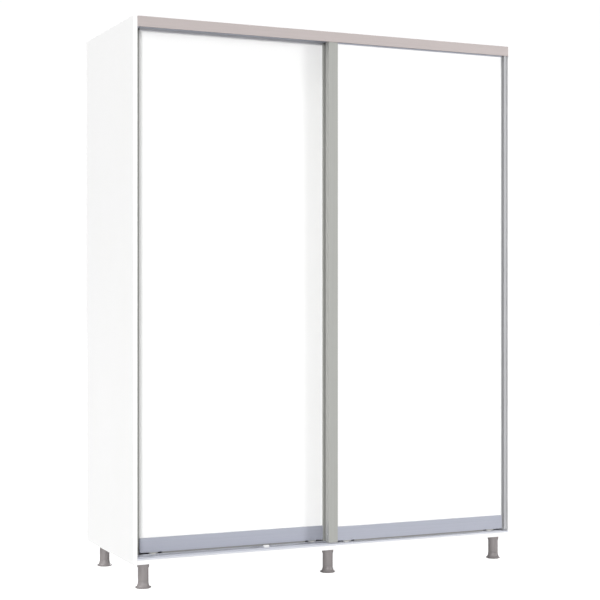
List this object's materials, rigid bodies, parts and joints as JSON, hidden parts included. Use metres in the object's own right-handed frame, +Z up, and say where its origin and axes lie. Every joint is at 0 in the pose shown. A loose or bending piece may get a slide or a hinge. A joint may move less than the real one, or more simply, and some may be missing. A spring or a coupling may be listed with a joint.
{
  "type": "sliding door wardrobe",
  "caption": "Free-standing white wardrobe on round legs, closed by two aluminium-framed panels that slide past each other on a double track.",
  "frame": {"origin": "on the floor, under the middle of the wardrobe", "axes": "+Z up, +X to the right along the width as seen from the front, the doors face -Y"},
  "size_m": [1.6, 0.6, 2.074],
  "materials": {
    "white_board": "white melamine-faced chipboard with matching edge band, satin",
    "door_board": "white melamine-faced board, satin",
    "back_hardboard": "thin hardboard, white lacquered face",
    "white_plastic": "moulded, matt",
    "chromed_steel": "polished",
    "track_aluminium": "satin anodised extrusion",
    "door_aluminium": "satin anodised extrusion",
    "nylon": "natural nylon",
    "bright_steel": "turned pin",
    "leg_plastic": "grey moulded plastic"
  },
  "bodies": {
    "carcass": {"side_panel_left": "white_board", "side_panel_right": "white_board", "top_panel": "white_board", "base_panel": "white_board", "centre_partition": "white_board", "back_panel_left": "back_hardboard", "back_panel_right": "back_hardboard", "back_joint_strip": "white_plastic", "hat_shelf": "white_board", "shelf_1": "white_board", "shelf_2": "white_board", "shelf_3": "white_board", "shelf_4": "white_board", "hanging_rail": "chromed_steel", "rail_socket_left": "chromed_steel", "rail_socket_right": "chromed_steel", "top_fascia": "track_aluminium", "top_track": "track_aluminium", "bottom_track": "track_aluminium", "track_clip_left": "white_plastic", "track_clip_right": "white_plastic", "leg_front_left": "leg_plastic", "leg_front_middle": "leg_plastic", "leg_front_right": "leg_plastic", "leg_back_left": "leg_plastic", "leg_back_middle": "leg_plastic", "leg_back_right": "leg_plastic"},
    "left_door": {"left_door_panel": "door_board", "left_door_overlap_stile": "door_aluminium", "left_door_grip_stile": "door_aluminium", "left_door_bottom_rail": "door_aluminium", "left_door_top_rail": "door_aluminium", "left_door_inner_guide": "nylon", "left_door_inner_roller_housing": "nylon", "left_door_inner_axle": "bright_steel", "left_door_outer_guide": "nylon", "left_door_outer_roller_housing": "nylon", "left_door_outer_axle": "bright_steel"},
    "right_door": {"right_door_panel": "door_board", "right_door_overlap_stile": "door_aluminium", "right_door_grip_stile": "door_aluminium", "right_door_bottom_rail": "door_aluminium", "right_door_top_rail": "door_aluminium", "right_door_inner_guide": "nylon", "right_door_inner_roller_housing": "nylon", "right_door_inner_axle": "bright_steel", "right_door_outer_guide": "nylon", "right_door_outer_roller_housing": "nylon", "right_door_outer_axle": "bright_steel"},
    "left_door_inner_wheel": {"left_door_inner_wheel": "nylon"},
    "left_door_outer_wheel": {"left_door_outer_wheel": "nylon"},
    "right_door_inner_wheel": {"right_door_inner_wheel": "nylon"},
    "right_door_outer_wheel": {"right_door_outer_wheel": "nylon"},
    "foot_front_left": {"foot_front_left": "leg_plastic"},
    "foot_front_middle": {"foot_front_middle": "leg_plastic"},
    "foot_front_right": {"foot_front_right": "leg_plastic"},
    "foot_back_left": {"foot_back_left": "leg_plastic"},
    "foot_back_middle": {"foot_back_middle": "leg_plastic"},
    "foot_back_right": {"foot_back_right": "leg_plastic"}
  },
  "joints": [
    {"name": "left_door_slide", "type": "slide", "parent": "carcass", "child": "left_door", "axis": [1, 0, 0], "range_m": [0, 0.764]},
    {"name": "right_door_slide", "type": "slide", "parent": "carcass", "child": "right_door", "axis": [1, 0, 0], "range_m": [-0.764, 0]},
    {"name": "left_door_inner_wheel_roll", "type": "hinge", "parent": "left_door", "child": "left_door_inner_wheel", "pos_m": [-0.0615, -0.23, 0.13], "axis": [0, 1, 0], "continuous": true},
    {"name": "left_door_outer_wheel_roll", "type": "hinge", "parent": "left_door", "child": "left_door_outer_wheel", "pos_m": [-0.7025, -0.23, 0.13], "axis": [0, 1, 0], "continuous": true},
    {"name": "right_door_inner_wheel_roll", "type": "hinge", "parent": "right_door", "child": "right_door_inner_wheel", "pos_m": [0.0615, -0.282, 0.13], "axis": [0, 1, 0], "continuous": true},
    {"name": "right_door_outer_wheel_roll", "type": "hinge", "parent": "right_door", "child": "right_door_outer_wheel", "pos_m": [0.7025, -0.282, 0.13], "axis": [0, 1, 0], "continuous": true},
    {"name": "foot_front_left_turn", "type": "hinge", "parent": "carcass", "child": "foot_front_left", "pos_m": [-0.745, -0.246, 0], "axis": [0, 0, 1], "continuous": true},
    {"name": "foot_front_middle_turn", "type": "hinge", "parent": "carcass", "child": "foot_front_middle", "pos_m": [0, -0.246, 0], "axis": [0, 0, 1], "continuous": true},
    {"name": "foot_front_right_turn", "type": "hinge", "parent": "carcass", "child": "foot_front_right", "pos_m": [0.745, -0.246, 0], "axis": [0, 0, 1], "continuous": true},
    {"name": "foot_back_left_turn", "type": "hinge", "parent": "carcass", "child": "foot_back_left", "pos_m": [-0.745, 0.24, 0], "axis": [0, 0, 1], "continuous": true},
    {"name": "foot_back_middle_turn", "type": "hinge", "parent": "carcass", "child": "foot_back_middle", "pos_m": [0, 0.24, 0], "axis": [0, 0, 1], "continuous": true},
    {"name": "foot_back_right_turn", "type": "hinge", "parent": "carcass", "child": "foot_back_right", "pos_m": [0.745, 0.24, 0], "axis": [0, 0, 1], "continuous": true}
  ],
  "couplings": [
    {"joint": "left_door_inner_wheel_roll", "follows": "left_door_slide", "rad_per_m": 83.333},
    {"joint": "left_door_outer_wheel_roll", "follows": "left_door_slide", "rad_per_m": 83.333},
    {"joint": "right_door_inner_wheel_roll", "follows": "right_door_slide", "rad_per_m": 83.333},
    {"joint": "right_door_outer_wheel_roll", "follows": "right_door_slide", "rad_per_m": 83.333}
  ]
}
